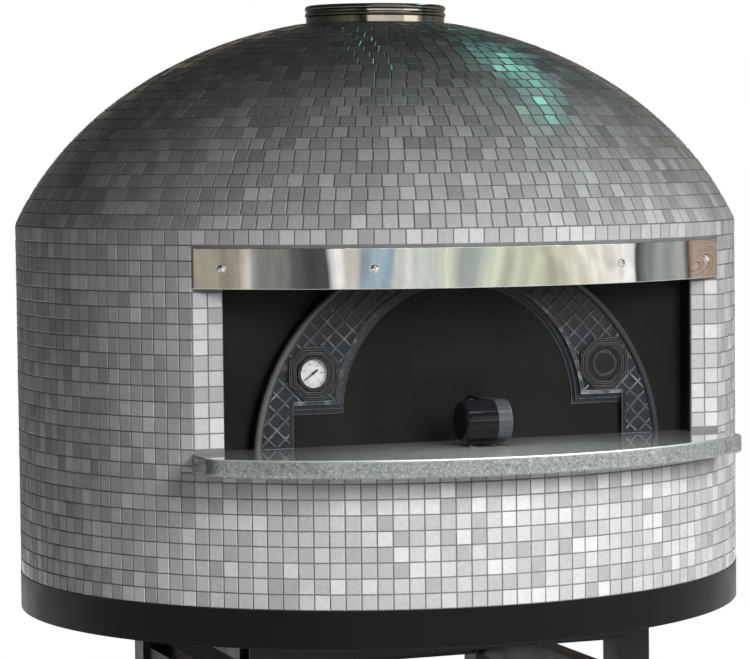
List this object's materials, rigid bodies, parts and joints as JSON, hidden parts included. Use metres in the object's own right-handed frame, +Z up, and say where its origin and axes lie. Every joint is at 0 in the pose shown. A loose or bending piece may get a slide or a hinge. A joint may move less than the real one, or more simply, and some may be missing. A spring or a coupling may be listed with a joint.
{
  "type": "pizza oven",
  "caption": "Round wood-fired pizza oven: mosaic drum and dome on a steel stand, cast-iron arch, granite sill, polished band, flue collar, thermometer and lift-out door.",
  "frame": {"origin": "floor level, at the centre of the four anchor holes and on the axis of the round drum", "axes": "+Z up, the mouth faces -Y, +X is to the right of someone facing the mouth"},
  "size_m": [1.2608, 1.3305, 1.889],
  "materials": {
    "stand_paint": "satin black",
    "mouth_paint": "matt black",
    "light_concrete": "rough",
    "insulation": "soft, matt",
    "refractory": "matt, cast",
    "shell_steel": "primed",
    "mosaic": "satin tiles in mixed greys",
    "polished_steel": "mirror polished",
    "granite": "polished",
    "duct_steel": "plain sheet",
    "collar_steel": "gloss black",
    "iron": "black, lightly burnished",
    "fastener_steel": "zinc plated",
    "gauge_black": "satin black",
    "dial_white": "printed scale, plain numbers",
    "glass": "clear",
    "strap_steel": "dull grey",
    "grip_gloss": "gloss black"
  },
  "bodies": {
    "oven": {"foot_plate_front_left": "stand_paint", "foot_plate_front_right": "stand_paint", "foot_plate_back_left": "stand_paint", "foot_plate_back_right": "stand_paint", "leg_front_left": "stand_paint", "leg_front_right": "stand_paint", "leg_back_left": "stand_paint", "leg_back_right": "stand_paint", "rail_front": "stand_paint", "rail_back": "stand_paint", "rail_left": "stand_paint", "rail_right": "stand_paint", "top_rail_front": "stand_paint", "top_rail_back": "stand_paint", "top_rail_left": "stand_paint", "top_rail_right": "stand_paint", "base_plate": "stand_paint", "base_ring": "stand_paint", "jamb_post_left": "mouth_paint", "jamb_post_right": "mouth_paint", "mouth_panel": "mouth_paint", "recess_ceiling": "mouth_paint", "lintel_bar": "mouth_paint", "base_fill": "light_concrete", "insulation_board": "insulation", "vault_blanket": "insulation", "floor_slab_front_left": "refractory", "floor_slab_front_right": "refractory", "floor_slab_back_left": "refractory", "floor_slab_back_right": "refractory", "vault": "refractory", "mouth_tunnel": "refractory", "drum_wall_lower": "shell_steel", "drum_wall_upper": "shell_steel", "dome_shell": "shell_steel", "shell_flange": "shell_steel", "drum_mosaic": "mosaic", "dome_mosaic": "mosaic", "lintel_band": "polished_steel", "band_screws": "polished_steel", "sill": "granite", "smoke_hood": "duct_steel", "smoke_duct": "duct_steel", "flue_pipe": "duct_steel", "flue_collar": "collar_steel", "arch_casting": "iron", "arch_bolts": "fastener_steel", "thermometer_probe": "fastener_steel", "thermometer_case": "gauge_black", "thermometer_bezel": "gauge_black", "thermometer_dial": "dial_white", "thermometer_glass": "glass"},
    "door": {"door_front": "mouth_paint", "door_core": "insulation", "door_back": "mouth_paint", "handle_strap": "strap_steel", "door_grip": "grip_gloss", "grip_bolt": "fastener_steel"},
    "needle": {"thermometer_needle": "gauge_black"}
  },
  "joints": [
    {"name": "door_pull", "type": "slide", "parent": "oven", "child": "door", "axis": [0, -1, 0], "range_m": [0, 0.29]},
    {"name": "needle_turn", "type": "hinge", "parent": "oven", "child": "needle", "pos_m": [-0.255, -0.412, 1.276], "axis": [0, 1, 0], "range_deg": [0, 270]}
  ]
}
